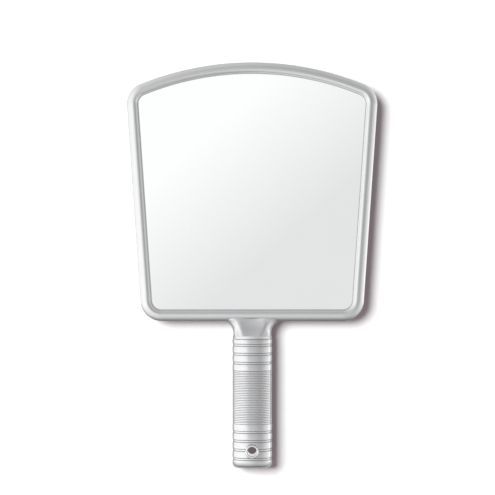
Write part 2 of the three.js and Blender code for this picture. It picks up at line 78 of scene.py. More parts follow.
# Head section, as insets from the outline and depths.
RIM_WIDTH = 9.3
RIM_CREST_INSET = 5.5
RIM_CREST_Y = -7.4
RIM_SHOULDER_Y = -1.2
RIM_LIP_Y = -3.8
RIM_ROOF_Y = -4.7  # inside of the hollow roll
RIM_BACK_Y = RIM_HIGH.y
POCKET_WALL = 1.5  # between the glass pocket and the hollow roll
GLASS_INSET = 8.1
LEDGE_WIDTH = 0.6  # narrow step between the lip's foot and the glass
COVER_FRONT_Y = RIM_BACK_Y + 0.12
COVER_BACK_Y = box_mm("rear_cover")[1].y
COVER_FLOOR_Y = 4.3
COVER_INSET = 0.3
COVER_WALL = 1.9
COVER_EDGE_RADIUS = 1.6
LIP_WALL = 0.9
LIP_REACH = 1.2  # of the lip that locates the cover inside the rim
PANEL_INSET = 11.5
PANEL_DEPTH = 0.6
GROUND_EDGE = 0.35  # of the glass

# Handle and neck.
HANDLE_END = box_mm("handle_rear_shell")[0].z
HANDLE_HALF_WIDTH = 15.5
HANDLE_HALF_DEPTH = 11.4
HANDLE_ROUNDNESS = 2.3
END_RADIUS = 4.4
END_FACE_RADIUS = 6.0
RING_DEPTH = 0.65
RING_CREST = 0.4
FINE_DEPTH = 0.42
FINE_CREST = 0.22
GROOVE_WIDTH = 0.42  # from a groove's bottom to its shoulder
SHOULDER_STEPS = (0.07, 0.16, 0.28, 0.42, 0.56)  # where the skin has its points beside a groove's bottom
BAND_PITCH = 7.02
FIRST_BAND = 26.9
WIDE_RING = 1.56
NECK_RING = 46.4
NECK_GROOVE_DEPTH = 0.25  # the groove above the neck ring is a shallow one
FINE_COUNT = 16
FINE_PITCH = 2.667
FINE_RING = 1.33
NECK_START = 47.9
NECK_TOP = 63.0
NECK_STEPS = 40
FLARE_START = 49.9
FLARE_RADIUS = 11
NECK_HALF_WIDTH = 14.8
NECK_TOP_FRONT = 8.2
NECK_TOP_BACK = 6.4
FACET_START = 0.945  # depth of the neck's facet at its lower end, as a share of the handle's
FACET_SHARE = 0.8  # its depth at the head, as a share of the neck's
FACET_CURVE = 1.7
FACET_BLEND = 0.8  # rounding where the facet meets the flanks
FRONT_BLEND = 0.25  # rounding of the front below the neck, where there is no facet
SCOOP_DEPTH = 0.5  # the facet is very slightly hollow
SCOOP_HALF_WIDTH = 9.0
SHELL_WALL = 1.9
SHELL_REVEAL = 0.9
SEAM_DEPTH = 0.2
SEAM_WIDTH = 0.28
CHANNEL_LIP = 0.12  # the rear shell's lip outside the channel along the parting line
CHANNEL_DEPTH = 1.0
PARTING = 0.02  # each shell ends this far from the middle plane
REACH = 100  # past every point of the handle
HOLLOW_HEIGHTS = (-51.6, -49.8, -46, 44, NECK_START - 1, 49.5, 52, 55, 57.6, 59.5, 61, NECK_TOP + 1)

# The cover's tang, which runs down inside the handle.
TANG_HALF_WIDTH = 9.5
TANG_FRONT_Y = 1.1
TANG_BACK_Y = 3.8
TANG_END = 6

# Eyelet, and radii and depths of the screws' pilot holes, wells, seats and bosses.
EYELET_Z = (EYELET_LOW.z + EYELET_HIGH.z) / 2
EYELET_BORE = 3.6
EYELET_BARREL = 4.2
EYELET_FLANGE = (EYELET_HIGH.x - EYELET_LOW.x) / 2
WASHER_RADIUS = (WASHER_HIGH.x - WASHER_LOW.x) / 2
HANDLE_SCREWS = ("handle_screw_upper", "handle_screw_middle", "handle_screw_lower")
HANDLE_PILOT = 1.6
HANDLE_PILOT_END = -6.5
HANDLE_WELL = 3.0
HANDLE_SEAT_Y = 8.6
FRONT_BOSS = 3.2
REAR_BOSS = 4.2
BOSS_SINK = 1.4  # the bosses start this far inside the shell's surface
RIM_SCREWS = tuple(f"rim_screw_{i}" for i in range(1, 7))
RIM_PILOT = 1.25
RIM_PILOT_END = -2.7
RIM_BOSS = 2.45
RIM_POST = 2.35
RIM_NOTCH = 2.75
RIM_WELL = 2.3
RIM_SEAT_Y = 4.9
BORE_STEPS = 48
BOSS_STEPS = 24
EYELET_STEPS = 72
SCREW_STEPS = 40

# ---------------------------------------------------------------- mesh helpers


def lerp(a, b, t):
    return a + (b - a) * t


def clamp(value, low=0.0, high=1.0):
    return max(low, min(high, value))


def smoothstep(t):
    t = clamp(t)
    return t * t * (3 - 2 * t)


def mesh_object(name, points, faces):
    """A mesh object from points in millimetres, with its faces pointing out."""
    mesh = bpy.data.meshes.new(name)
    shape = bmesh.new()
    corners = [shape.verts.new(Vector(point) * MM) for point in points]
    for face in faces:
        shape.faces.new([corners[i] for i in face])
    bmesh.ops.recalc_face_normals(shape, faces=shape.faces)
    shape.to_mesh(mesh)
    shape.free()
    made = bpy.data.objects.new(name, mesh)
    bpy.context.scene.collection.objects.link(made)
    return made


def loft(name, rings, joined=False):
    """A closed skin over rings of points. The ends are capped, or joined to each other."""
    count = len(rings[0])
    points = [point for ring in rings for point in ring]
    faces = []
    for i in range(len(rings) if joined else len(rings) - 1):
        near, far = i * count, (i + 1) % len(rings) * count
        for j in range(count):
            k = (j + 1) % count
            faces.append((near + j, far + j, far + k, near + k))
    if not joined:
        last = (len(rings) - 1) * count
        faces.append(tuple(range(count)))
        faces.append(tuple(range(last, last + count)))
    return mesh_object(name, points, faces)


def turned(name, outline, steps, place):
    """A solid of revolution about Y from (radius, y) points. It closes on the axis or on itself."""
    x, y0, z = place
    on_axis = outline[0][0] == 0
    points, faces, rings = [], [], []
    for radius, y in outline:
        if radius == 0:
            rings.append([len(points)] * steps)
            points.append((x, y0 + y, z))
            continue
        rings.append(list(range(len(points), len(points) + steps)))
        for i in range(steps):
            angle = 2 * math.pi * i / steps
            points.append((x + radius * math.cos(angle), y0 + y, z + radius * math.sin(angle)))
    pairs = list(zip(rings, rings[1:] + ([] if on_axis else rings[:1])))
    for a, b in pairs:
        for i in range(steps):
            k = (i + 1) % steps
            faces.append(tuple(dict.fromkeys((a[i], b[i], b[k], a[k]))))
    return mesh_object(name, points, faces)


def bar(x, z, radius, y0, y1):
    """A cylinder along Y."""
    return turned("bar", [(0, y0), (radius, y0), (radius, y1), (0, y1)], BOSS_STEPS, (x, 0, z))


def screw_well(place, pilot, well, seat, flare, mouth):
    """A cutter for a screw's hole and the well of its head, which opens out by the flare at its mouth."""
    start, end = -3, mouth + 2
    outline = [
        (0, start),
        (pilot, start),
        (pilot, seat),
        (well, seat),
        (well, mouth - flare),
        (well + flare, mouth),
        (well + flare, end),
        (0, end),
    ]
    return turned("well", outline, BORE_STEPS, place)


def block(low, high):
    """A box between two corners."""
    xs, ys, zs = zip(low, high)
    corners = [(x, y, z) for x in xs for y in ys for z in zs]
    faces = [(0, 1, 3, 2), (4, 6, 7, 5), (0, 4, 5, 1), (2, 3, 7, 6), (0, 2, 6, 4), (1, 5, 7, 3)]
    return mesh_object("block", corners, faces)


def combine(piece, operation, tools):
    """Joins tools to a piece, cuts them from it or keeps what they share, and removes the tools."""
    for tool in tools:
        step = piece.modifiers.new("combine", "BOOLEAN")
        step.operation = operation
        step.solver = "MANIFOLD"
        step.object = tool
    view = bpy.context.evaluated_depsgraph_get()
    made = bpy.data.meshes.new_from_object(piece.evaluated_get(view))
    piece.modifiers.clear()
    made.name = piece.name
    piece.data = made
    for tool in tools:
        bpy.data.objects.remove(tool)
    return piece


def finish_shape(piece, angle=32):
    """Smooth shading, with real edges kept where two faces meet at more than the angle."""
    piece.data.shade_smooth()
    piece.data.set_sharp_from_angle(angle=math.radians(angle))
    weighted = piece.modifiers.new("weighted", "WEIGHTED_NORMAL")
    weighted.keep_sharp = True
    weighted.weight = 80
    return piece


# ---------------------------------------------------------------- head outline


def direction(angle):
    """The unit vector at an angle from the first axis."""
    return Vector((math.cos(angle), math.sin(angle)))


def head_stations():
    """Centre, radius and normal of each point round the outline, so any inset gives a parallel outline."""
    normal = direction(-SIDE_TAPER)
    along = Vector((-normal.y, normal.x))
    arc_centre = Vector((0, HEAD_TOP - TOP_ARC_RADIUS))
    side = Vector((HEAD_HALF_WIDTH, HEAD_BOTTOM)) - normal * CORNER_RADIUS
    low = side + along * ((HEAD_BOTTOM + CORNER_RADIUS - side.y) / along.y)
    start = side - arc_centre
    b = start.dot(along)
    c = start.length_squared - (TOP_ARC_RADIUS - CORNER_RADIUS) ** 2
    high = side + along * (math.sqrt(b * b - c) - b)
    turn = math.atan2(high.y - arc_centre.y, high.x)
    arcs = (
        (low, CORNER_RADIUS, -math.pi / 2, -SIDE_TAPER, CORNER_STEPS, 0),
        (high, CORNER_RADIUS, -SIDE_TAPER, turn, CORNER_STEPS, 0),
        (arc_centre, TOP_ARC_RADIUS, turn, math.pi / 2, TOP_STEPS, 1),
    )
    right = [
        (centre, radius, direction(lerp(a, z, i / steps)))
        for centre, radius, a, z, steps, first in arcs
        for i in range(first, steps + 1)
    ]
    left = [(Vector((-c.x, c.y)), r, Vector((-n.x, n.y))) for c, r, n in reversed(right[:-1])]
    return right + left


STATIONS = head_stations()


def outline_at(inset, y):
    """The head's outline, drawn in by the inset, at one depth."""
    points = []
    for centre, radius, normal in STATIONS:
        p = centre + normal * (radius - inset)
        points.append((p.x, y, p.y))
    return points


def plate(name, layers):
    """A solid in the outline's shape, from (inset, y) layers."""
    return loft(name, [outline_at(inset, y) for inset, y in layers])


def hoop(name, section):
    """A section of (inset, y) points carried right round the outline."""
    layers = [outline_at(inset, y) for inset, y in section]
    return loft(name, [list(ring) for ring in zip(*layers)], joined=True)


def elbow(centre, semi, start, end, steps):
    """Points along part of an ellipse, between two angles in degrees."""
    points = []
    for i in range(steps + 1):
        t = math.radians(lerp(start, end, i / steps))
        points.append((centre[0] + semi[0] * math.cos(t), centre[1] + semi[1] * math.sin(t)))
    return points


def roll_outside(grow):
    """The rim's outer roll from the cover to its crest, grown outwards."""
    semi = (RIM_CREST_INSET + grow, RIM_SHOULDER_Y - RIM_CREST_Y + grow)
    return elbow((RIM_CREST_INSET, RIM_SHOULDER_Y), semi, 180, 270, ROLL_STEPS)


# ---------------------------------------------------------------- head pieces


def centre_of(node):
    """Middle of a CAD node's box, in millimetres."""
    low, high = box_mm(node)
    return (low + high) / 2


def make_bezel():
    """The rim: a hollow roll with a lip over the glass, a pocket for the glass and six screw bosses."""
    foot = RIM_WIDTH - LEDGE_WIDTH
    lip_semi = (foot - RIM_CREST_INSET, RIM_LIP_Y - RIM_CREST_Y)
    pocket = GLASS_INSET - GAP
    glass_front = GLASS_LOW.y - 0.12
    outer_wall = COVER_INSET + COVER_WALL - GAP
    section = [
        (COVER_INSET + 0.35, RIM_BACK_Y),
        (COVER_INSET + 0.05, RIM_BACK_Y - 0.25),
        (COVER_INSET - 0.05, RIM_BACK_Y - 0.6),
        *roll_outside(0),
        *elbow((RIM_CREST_INSET, RIM_LIP_Y), lip_semi, 270, 360, 16)[1:],
        (foot, glass_front - 0.12),
        (RIM_WIDTH - 0.05, glass_front - 0.1),
        (RIM_WIDTH - 0.15, glass_front),
        (pocket, glass_front),
        (pocket, RIM_BACK_Y),
        (pocket - POCKET_WALL, RIM_BACK_Y),
        (pocket - POCKET_WALL, RIM_ROOF_Y),
        (outer_wall + 0.5, RIM_ROOF_Y + 0.4),
        (outer_wall, RIM_ROOF_Y + 1.9),
        (outer_wall, RIM_BACK_Y),
    ]
    bezel = hoop("bezel_ring", section)
    places = [centre_of(node) for node in RIM_SCREWS]
    combine(bezel, "UNION", [bar(p.x, p.z, RIM_BOSS, RIM_ROOF_Y - 0.4, RIM_BACK_Y) for p in places])
    combine(bezel, "DIFFERENCE", [bar(p.x, p.z, RIM_PILOT, RIM_PILOT_END, RIM_BACK_Y + 1) for p in places])
    return finish_shape(bezel)


def make_cover():
    """The back pan: a rounded edge, a sunk panel, a tang for the handle and six screw posts."""
    radius = COVER_EDGE_RADIUS
    edge = elbow((COVER_INSET + radius, COVER_BACK_Y - radius), (radius, radius), 180, 90, 8)
    outer = COVER_INSET + COVER_WALL
    recess = COVER_BACK_Y - PANEL_DEPTH
    layers = [
        (outer + LIP_WALL, COVER_FLOOR_Y),
        (outer + LIP_WALL, COVER_FRONT_Y - LIP_REACH),
        (outer, COVER_FRONT_Y - LIP_REACH),
        (outer, COVER_FRONT_Y),
        (COVER_INSET + 0.35, COVER_FRONT_Y),
        (COVER_INSET + 0.05, COVER_FRONT_Y + 0.25),
        *edge,
        (PANEL_INSET - 0.5, COVER_BACK_Y),
        (PANEL_INSET - 0.1, COVER_BACK_Y - 0.08),
        (PANEL_INSET + 0.12, COVER_BACK_Y - 0.28),
        (PANEL_INSET + 0.3, recess + 0.08),
        (PANEL_INSET + 0.6, recess),
    ]
    cover = plate("rear_pan", layers)
    tang = block(
        (-TANG_HALF_WIDTH, TANG_FRONT_Y, TANG_END),
        (TANG_HALF_WIDTH, TANG_BACK_Y, HEAD_BOTTOM + outer + 0.3),
    )
    places = [centre_of(node) for node in RIM_SCREWS]
    posts = [bar(p.x, p.z, RIM_POST, COVER_FRONT_Y, COVER_FLOOR_Y + 0.5) for p in places]
    combine(cover, "UNION", [tang, *posts])
    notches = [bar(p.x, p.z, RIM_NOTCH, COVER_FRONT_Y - 3, COVER_FRONT_Y - 0.01) for p in places]
    mouth = COVER_BACK_Y + 0.05
    wells = [screw_well((p.x, 0, p.z), RIM_PILOT, RIM_WELL, RIM_SEAT_Y, 0.3, mouth) for p in places]
    combine(cover, "DIFFERENCE", [*notches, *wells])
    tang_holes = [bar(0, centre_of(node).z, HANDLE_PILOT, 0, 5) for node in HANDLE_SCREWS[:2]]
    combine(cover, "DIFFERENCE", tang_holes)
    return finish_shape(cover)


def make_glass():
    """Float glass with a ground edge all round."""
    layers = [
        (GLASS_INSET + GROUND_EDGE, GLASS_LOW.y),
        (GLASS_INSET + 0.08, GLASS_LOW.y + GROUND_EDGE * 0.7),
        (GLASS_INSET, GLASS_LOW.y + GROUND_EDGE * 1.4),
        (GLASS_INSET, GLASS_HIGH.y - GROUND_EDGE * 1.4),
        (GLASS_INSET + 0.08, GLASS_HIGH.y - GROUND_EDGE * 0.7),
        (GLASS_INSET + GROUND_EDGE, GLASS_HIGH.y),
    ]
    return finish_shape(plate("mirror_plate", layers))


# ---------------------------------------------------------------- handle shells


def ring_spans():
    """The stretches between neighbouring grooves, as (low, high, crest inset, groove depth)."""
    wide = [FIRST_BAND + BAND_PITCH * i for i in range(4)]
    centres = [-z for z in reversed(wide)]
    centres += [(i - (FINE_COUNT - 1) / 2) * FINE_PITCH for i in range(FINE_COUNT)]
    centres += wide[:3] + [NECK_RING]
    spans = []
    low = None
    for z in centres:
        fine = abs(z) < FIRST_BAND - 1
        half = (FINE_RING if fine else WIDE_RING) / 2
        depth = FINE_DEPTH if fine else RING_DEPTH
        if low is not None:
            spans.append((low, z - half, 0.0, depth))
        spans.append((z - half, z + half, FINE_CREST if fine else RING_CREST, depth))
        low = z + half
    return spans


def span_inset(z, low, high, crest, depth):
    """Inset within one stretch: a slight crown, then round shoulders into a sharp groove at each end."""
    half = (high - low) / 2
    away = abs(z - (low + high) / 2)
    shoulder = clamp((away - (half - GROOVE_WIDTH)) / GROOVE_WIDTH)
    share = 0.1 * (away / half) ** 2 + 0.9 * shoulder**1.7
    return crest + (depth - crest) * share


def span_heights(low, high):
    """Heights of the skin's points within one stretch, without its top end."""
    half = (high - low) / 2
    middle = (low + high) / 2
    offsets = [half - step for step in (0.0, *SHOULDER_STEPS) if step < half]
    if half > 1.5:
        offsets += [half - 1.0, half * 0.35]
    lower = [middle - offset for offset in offsets]
    upper = [middle + offset for offset in reversed(offsets)]
    return lower + [middle] + upper[:-1]


def neck_share(z):
    """How far up the neck a height is, from 0 at its foot to 1 at the head."""
    return clamp((z - NECK_START) / (HEAD_BOTTOM - NECK_START))


def end_trim(radius, above):
    """How far a rounded end has drawn in at one height above its face."""
    return radius - math.sqrt(max(0.0, radius**2 - (radius - above) ** 2)) if above < radius else 0.0


def handle_size(z, inset, reveal=0.0):
    """Half the width, the depth to the front and to the back, and the depth of the neck's facet."""
    share = neck_share(z)
    above = z - HANDLE_END - reveal
    width = HANDLE_HALF_WIDTH
    if z > NECK_START:
        rise = clamp(z - FLARE_START, 0, FLARE_RADIUS * 0.97)
        width = NECK_HALF_WIDTH + FLARE_RADIUS - math.sqrt(FLARE_RADIUS**2 - rise**2)
    trim = end_trim(END_FACE_RADIUS, above) + inset
    front = lerp(HANDLE_HALF_DEPTH, NECK_TOP_FRONT, 1 - (1 - share) ** 1.5)
    back = lerp(HANDLE_HALF_DEPTH, NECK_TOP_BACK, share**1.2)
    facet = front
    if share > 0:
        start = FACET_START * HANDLE_HALF_DEPTH
        facet = lerp(start, FACET_SHARE * NECK_TOP_FRONT, 1 - (1 - share) ** FACET_CURVE)
    return width - end_trim(END_RADIUS, above) - inset - reveal, front - trim, back - trim, facet - inset


# Where a section has its points, in degrees from the parting line: they are close together beside it.
SEAM_ANGLES = [0.0, 0.5, 1.1, 1.8, 2.8, 4.2, 6.0]
OPEN_STEPS = 22


def section_angles():
    """Angles of a whole section's points, the same in each quarter."""
    last = SEAM_ANGLES[-1]
    quarter_turn = SEAM_ANGLES + [last + (90 - last) * i / OPEN_STEPS for i in range(1, OPEN_STEPS + 1)]
    half_turn = quarter_turn + [180 - angle for angle in reversed(quarter_turn[:-1])]
    return half_turn[:-1] + [180 + angle for angle in half_turn[:-1]]


ANGLES = [math.radians(angle) for angle in section_angles()]


def soft_max(a, b, blend):
    """The larger of two values, with a rounded change from one to the other."""
    gap = clamp(0.5 + (a - b) / (2 * blend))
    return lerp(b, a, gap) + blend * gap * (1 - gap)


def oval(z, size, outside):
    """The handle's section at one height. The outside has a fine groove along the parting line."""
    width, front, back, facet = size
    power = 2 / HANDLE_ROUNDNESS
    points = []
    for angle in ANGLES:
        c, s = math.cos(angle), math.sin(angle)
        x = width * math.copysign(abs(c) ** power, c)
        depth = front if s < 0 else back
        y = depth * math.copysign(abs(s) ** power, s)
        if outside:
            x -= math.copysign(SEAM_DEPTH * (1 - smoothstep(abs(y) / SEAM_WIDTH)), x)
        hollow, blend = 0.0, FRONT_BLEND
        if z > NECK_START:
            hollow = SCOOP_DEPTH * max(0.0, 1 - (x / SCOOP_HALF_WIDTH) ** 2)
            blend = FACET_BLEND
        points.append((x, soft_max(y, hollow - facet, blend), z))
    return points


def end_levels(reveal, low_edge):
    """The rounded end, up to the shoulder of the lowest groove."""
    turns = [math.radians(angle) for angle in range(0, 76, 5)]
    heights = [HANDLE_END + reveal + END_FACE_RADIUS * (1 - math.cos(turn)) for turn in turns]
    levels = [(z, 0.0) for z in heights if z < low_edge - 0.6]
    for step in reversed(SHOULDER_STEPS):
        z = low_edge - step
        levels.append((z, span_inset(z, HANDLE_END - 1, low_edge, 0.0, RING_DEPTH)))
    return levels


def band_levels(spans):
    """The bands and rings. The upper half of the neck ring runs out into the shallow groove above it."""
    top_edge = spans[-1][1]
    levels = []
    for low, high, crest, depth in spans:
        for z in span_heights(low, high):
            inset = span_inset(z, low, high, crest, depth)
            if z > NECK_RING:
                rise = (z - NECK_RING) / (top_edge - NECK_RING)
                inset = min(inset, lerp(RING_CREST, NECK_GROOVE_DEPTH, rise))
            levels.append((z, inset))
    return levels


def neck_levels(top_edge):
    """The shoulder above the neck ring, then the smooth neck."""
    levels = []
    for step in (0.0, *SHOULDER_STEPS[:-1]):
        z = top_edge + step
        levels.append((z, span_inset(z, top_edge, top_edge + 2, 0.1, NECK_GROOVE_DEPTH)))
    levels.append((NECK_START, 0.0))
    levels += [(lerp(NECK_START + 0.05, NECK_TOP, i / NECK_STEPS), 0.0) for i in range(NECK_STEPS + 1)]
    return levels


def handle_outside(reveal):
    """The whole skin of handle and neck, drawn in by the reveal."""
    spans = ring_spans()
    levels = end_levels(reveal, spans[0][0]) + band_levels(spans) + neck_levels(spans[-1][1])
    return loft("handle_outside", [oval(z, handle_size(z, inset, reveal), True) for z, inset in levels])


def handle_hollow():
    """A cutter for the inside of handle and neck, one wall in from the deepest groove."""
    rings = []
    for z in (HANDLE_END + SHELL_WALL, *HOLLOW_HEIGHTS):
        inset = SHELL_WALL + (RING_DEPTH if z < NECK_START else 0)
        rings.append(oval(z, handle_size(z, inset), False))
    return loft("handle_hollow", rings)


def head_clearance():
    """Cutters that keep the neck a hairline away from the rim's roll and the cover's edge."""
    roll = [
        *roll_outside(FIT),
        (RIM_WIDTH + 1, RIM_CREST_Y - FIT),
        (RIM_WIDTH + 1, COVER_FRONT_Y),
        (-FIT, COVER_FRONT_Y),
    ]
    radius = COVER_EDGE_RADIUS
    edge = elbow((COVER_INSET + radius, COVER_BACK_Y - radius), (radius + FIT, radius + FIT), 180, 90, 8)
    cover = plate("cover_clearance", [(COVER_INSET - FIT, COVER_FRONT_Y - GAP), *edge])
    return [hoop("roll_clearance", roll), cover]


def half_shell(name, reveal, side):
    """A hollow half of the handle, cut back from the head. Side is a slab over its half."""
    shell = handle_outside(reveal)
    shell.name = name
    combine(shell, "DIFFERENCE", [handle_hollow(), *head_clearance()])
    return combine(shell, "INTERSECT", [side])


def slab(low_y, high_y):
    """A block that spans the whole handle between two depths."""
    return block((-REACH, low_y, -REACH), (REACH, high_y, REACH))


def eyelet_seat(name, radius, side):
    """A cutter for the eyelet's hole and its flange's or washer's seat, in front (-1) or behind (1)."""
    hole = EYELET_BARREL + 0.15
    seat = HANDLE_HALF_DEPTH - RING_DEPTH
    start, end = -3, 20
    outline = [
        (0, start),
        (hole, start),
        (hole, seat),
        (radius, seat),
        (radius, HANDLE_HALF_DEPTH - 0.4),
        (radius + 0.3, HANDLE_HALF_DEPTH - 0.1),
        (radius + 0.3, end),
        (0, end),
    ]
    if side < 0:
        outline = [(r, -y) for r, y in reversed(outline)]
    return turned(name, outline, BORE_STEPS, (0, 0, EYELET_Z))


def make_channel():
    """A cutter for the channel in the rear shell, just outside the front shell's edge."""
    channel = handle_outside(CHANNEL_LIP)
    combine(channel, "DIFFERENCE", [handle_outside(SHELL_REVEAL + GAP)])
    return combine(channel, "INTERSECT", [slab(-1, CHANNEL_DEPTH)])


def make_front_shell(heights):
    """The front half, with its screw bosses. Its edge stands a little inside the rear half's."""
    shell = half_shell("grip_front", SHELL_REVEAL, slab(-REACH, -PARTING))
    top = TANG_FRONT_Y - GAP
    combine(shell, "UNION", [bar(0, z, FRONT_BOSS, BOSS_SINK - HANDLE_HALF_DEPTH, top) for z in heights])
    seat = eyelet_seat("front_seat", EYELET_FLANGE + 0.12, -1)
    pilots = [bar(0, z, HANDLE_PILOT, HANDLE_PILOT_END, 5) for z in heights]
    combine(shell, "DIFFERENCE", [seat, *pilots])
    return finish_shape(shell, 40)


def make_back_shell(heights):
    """The rear half. Its upper bosses end just behind the tang, the lowest just behind a front boss."""
    shell = half_shell("grip_back", 0.0, slab(PARTING, REACH))
    combine(shell, "DIFFERENCE", [make_channel()])
    on_tang = TANG_BACK_Y + GAP
    feet = (on_tang, on_tang, TANG_FRONT_Y)
    top = HANDLE_HALF_DEPTH - BOSS_SINK
    combine(shell, "UNION", [bar(0, z, REAR_BOSS, foot, top) for z, foot in zip(heights, feet)])
    seat = eyelet_seat("back_seat", WASHER_RADIUS + 0.12, 1)
    mouth = HANDLE_HALF_DEPTH + 0.1
    wells = [screw_well((0, 0, z), HANDLE_PILOT, HANDLE_WELL, HANDLE_SEAT_Y, 0.4, mouth) for z in heights]
    combine(shell, "DIFFERENCE", [seat, *wells])
    return finish_shape(shell, 40)


# ---------------------------------------------------------------- eyelet and screws


def make_eyelet():
    """A barrel with a rounded flange in front and a lip rolled over the washer behind."""
    seat = -HANDLE_HALF_DEPTH + RING_DEPTH - 0.05
    flange_mid = (EYELET_BORE + EYELET_FLANGE) / 2
    flange_half = (EYELET_FLANGE - EYELET_BORE) / 2
    front = elbow((flange_mid, seat - 0.35), (flange_half, 0.8), 360, 180, 24)
    lip = EYELET_BARREL + 0.5
    lip_y = HANDLE_HALF_DEPTH + 0.12
    lip_mid = (EYELET_BORE + lip) / 2
    lip_half = (lip - EYELET_BORE) / 2
    back = elbow((lip_mid, lip_y + 0.12), (lip_half, 0.46), 180, 0, 16)
    outline = [
        (EYELET_BARREL, seat),
        (EYELET_FLANGE - 0.05, seat),
        *front,
        *back,
        (lip, lip_y),
        (EYELET_BARREL, lip_y - 0.3),
    ]
    return finish_shape(turned("eyelet_barrel", outline, EYELET_STEPS, (0, 0, EYELET_Z)), 50)


def make_washer():
    """The washer under the eyelet's rolled lip."""
    near = HANDLE_HALF_DEPTH - RING_DEPTH + 0.05
    far = HANDLE_HALF_DEPTH - 0.08
    bore = EYELET_BARREL + 0.1
    outline = [
        (bore, near),
        (WASHER_RADIUS, near),
        *elbow((WASHER_RADIUS - 0.3, far - 0.3), (0.3, 0.3), 0, 90, 6),
        (bore + 0.1, far),
        (bore, far - 0.1),
    ]
    return finish_shape(turned("eyelet_back_washer", outline, EYELET_STEPS, (0, 0, EYELET_Z)), 50)


def make_screw(node, name):
    """A pan-head self-tapping screw with a cross recess, in the place of its CAD node."""
    low, high = box_mm(node)
    head = (high.x - low.x) / 2
    # The other sizes follow from the head's radius.
    height = head * 0.57
    seat = high.y - height
    shank = head * 0.5
    core = shank * 0.8
    pitch = shank * 0.85
    dome = elbow((0, height * 0.45), (head, height * 0.55), 0, 90, 8)[:-1]
    tip = low.y - seat
    outline = [(0, tip), (shank * 0.2, tip)]
    turns = int((-tip - shank) / pitch)
    for i in range(turns):
        y = tip + shank + i * pitch
        outline += [(core, y), (shank, y + pitch * 0.45), (core, y + pitch * 0.75)]
    outline += [(core, -0.05), (core, 0), (head, 0), *dome, (0, height)]
    x, z = (low.x + high.x) / 2, (low.z + high.z) / 2
    screw = turned(name, outline, SCREW_STEPS, (x, seat, z))
    arm, thick, floor = head * 0.55, head * 0.13, height * 0.4
    for across, up in ((arm, thick), (thick, arm)):
        corners = (x - across, seat + floor, z - up), (x + across, seat + height + 1, z + up)
        combine(screw, "DIFFERENCE", [block(*corners)])
    return finish_shape(screw, 40)


# ---------------------------------------------------------------- materials


def plug(links, node, key, value):
    """Links a socket to a node's input, or sets the input to a value."""
    if isinstance(value, bpy.types.NodeSocket):
        links.new(value, node.inputs[key])
    else:
        node.inputs[key].default_value = value


class Paint:
    """A Principled material whose nodes are added by name."""

    def __init__(self, name, **values):
        self.material = bpy.data.materials.new(name)
        self.material.use_nodes = True
        self.nodes = self.material.node_tree.nodes
        self.links = self.material.node_tree.links
        self.shader = self.nodes["Principled BSDF"]
        for key, value in values.items():
            self.shader.inputs[key.replace("_", " ")].default_value = value
        self.place = self.nodes.new("ShaderNodeTexCoord").outputs["Object"]

    def node(self, kind, inputs=(), **settings):
        made = self.nodes.new(kind)
        for key, value in settings.items():
            setattr(made, key, value)
        for key, value in dict(inputs).items():
            plug(self.links, made, key, value)
        return made

    def noise(self, scale, detail=3.0, rough=0.5):
        inputs = {"Vector": self.place, "Scale": scale, "Detail": detail, "Roughness": rough}
        return self.node("ShaderNodeTexNoise", inputs).outputs["Fac"]

    def ranged(self, source, low, high, start=0.0, end=1.0):
        inputs = {"Value": source, "From Min": start, "From Max": end, "To Min": low, "To Max": high}
        return self.node("ShaderNodeMapRange", inputs).outputs["Result"]

    def blend(self, factor, a, b, mode="MIX"):
        made = self.node("ShaderNodeMix", data_type="RGBA", blend_type=mode)
        for index, value in ((0, factor), (6, a), (7, b)):
            plug(self.links, made, index, value)
        return made.outputs[2]

    def bump(self, height, strength, distance, normal=None):
        inputs = {"Height": height, "Strength": strength, "Distance": distance}
        if normal is not None:
            inputs["Normal"] = normal
        return self.node("ShaderNodeBump", inputs).outputs["Normal"]

    def crevice_shade(self, distance):
        """Near 0 in a tight groove and 1 on open faces: the mask for painted shade in crevices."""
        return self.node("ShaderNodeAmbientOcclusion", {"Distance": distance}, samples=8).outputs["AO"]

    def feed(self, **sources):
        """Links sockets to the shader's inputs and returns the finished material."""
        for key, source in sources.items():
            self.links.new(source, self.shader.inputs[key.replace("_", " ")])
        return self.material


def silver_paint():
    """Satin metallic paint: fine flake and slight orange peel, with painted shade that darkens it in
    grooves.
    """
    paint = Paint("silver_paint", Metallic=0.92, Roughness=0.22, Coat_Weight=0.25, Coat_Roughness=0.1)
    cloud = paint.noise(22, 2)
    flake = paint.node("ShaderNodeTexVoronoi", {"Vector": paint.place, "Scale": 5200.0}).outputs["Color"]
    grey = paint.blend(cloud, (0.485, 0.488, 0.495, 1), (0.52, 0.523, 0.528, 1))
    flaked = paint.blend(0.08, grey, flake, "OVERLAY")
    painted_shade_mask = paint.ranged(paint.crevice_shade(0.0009), 0.0, 1.0, 0.3, 0.85)
    # Painted shade: the paint turns dark grey where the occlusion mask finds a groove.
    colour = paint.blend(painted_shade_mask, (0.36, 0.36, 0.365, 1), flaked)
    rough = paint.ranged(paint.noise(140, 4, 0.6), 0.19, 0.26, 0.3, 0.7)
    peel = paint.bump(paint.noise(750, 2, 0.4), 0.008, 0.0001)
    sparkle = paint.bump(paint.noise(5200, 1), 0.02, 0.00002, peel)
    return paint.feed(Base_Color=colour, Roughness=rough, Normal=sparkle)


def mirror_silver():
    """Silvered float glass: a clean reflection with a faint cool tint and a trace of haze."""
    paint = Paint("silvered_glass", Metallic=1.0)
    haze = paint.noise(26, 4, 0.6)
    tint = paint.blend(haze, (0.925, 0.935, 0.932, 1), (0.94, 0.947, 0.945, 1))
    rough = paint.ranged(haze, 0.004, 0.02, 0.45, 0.8)
    return paint.feed(Base_Color=tint, Roughness=rough)


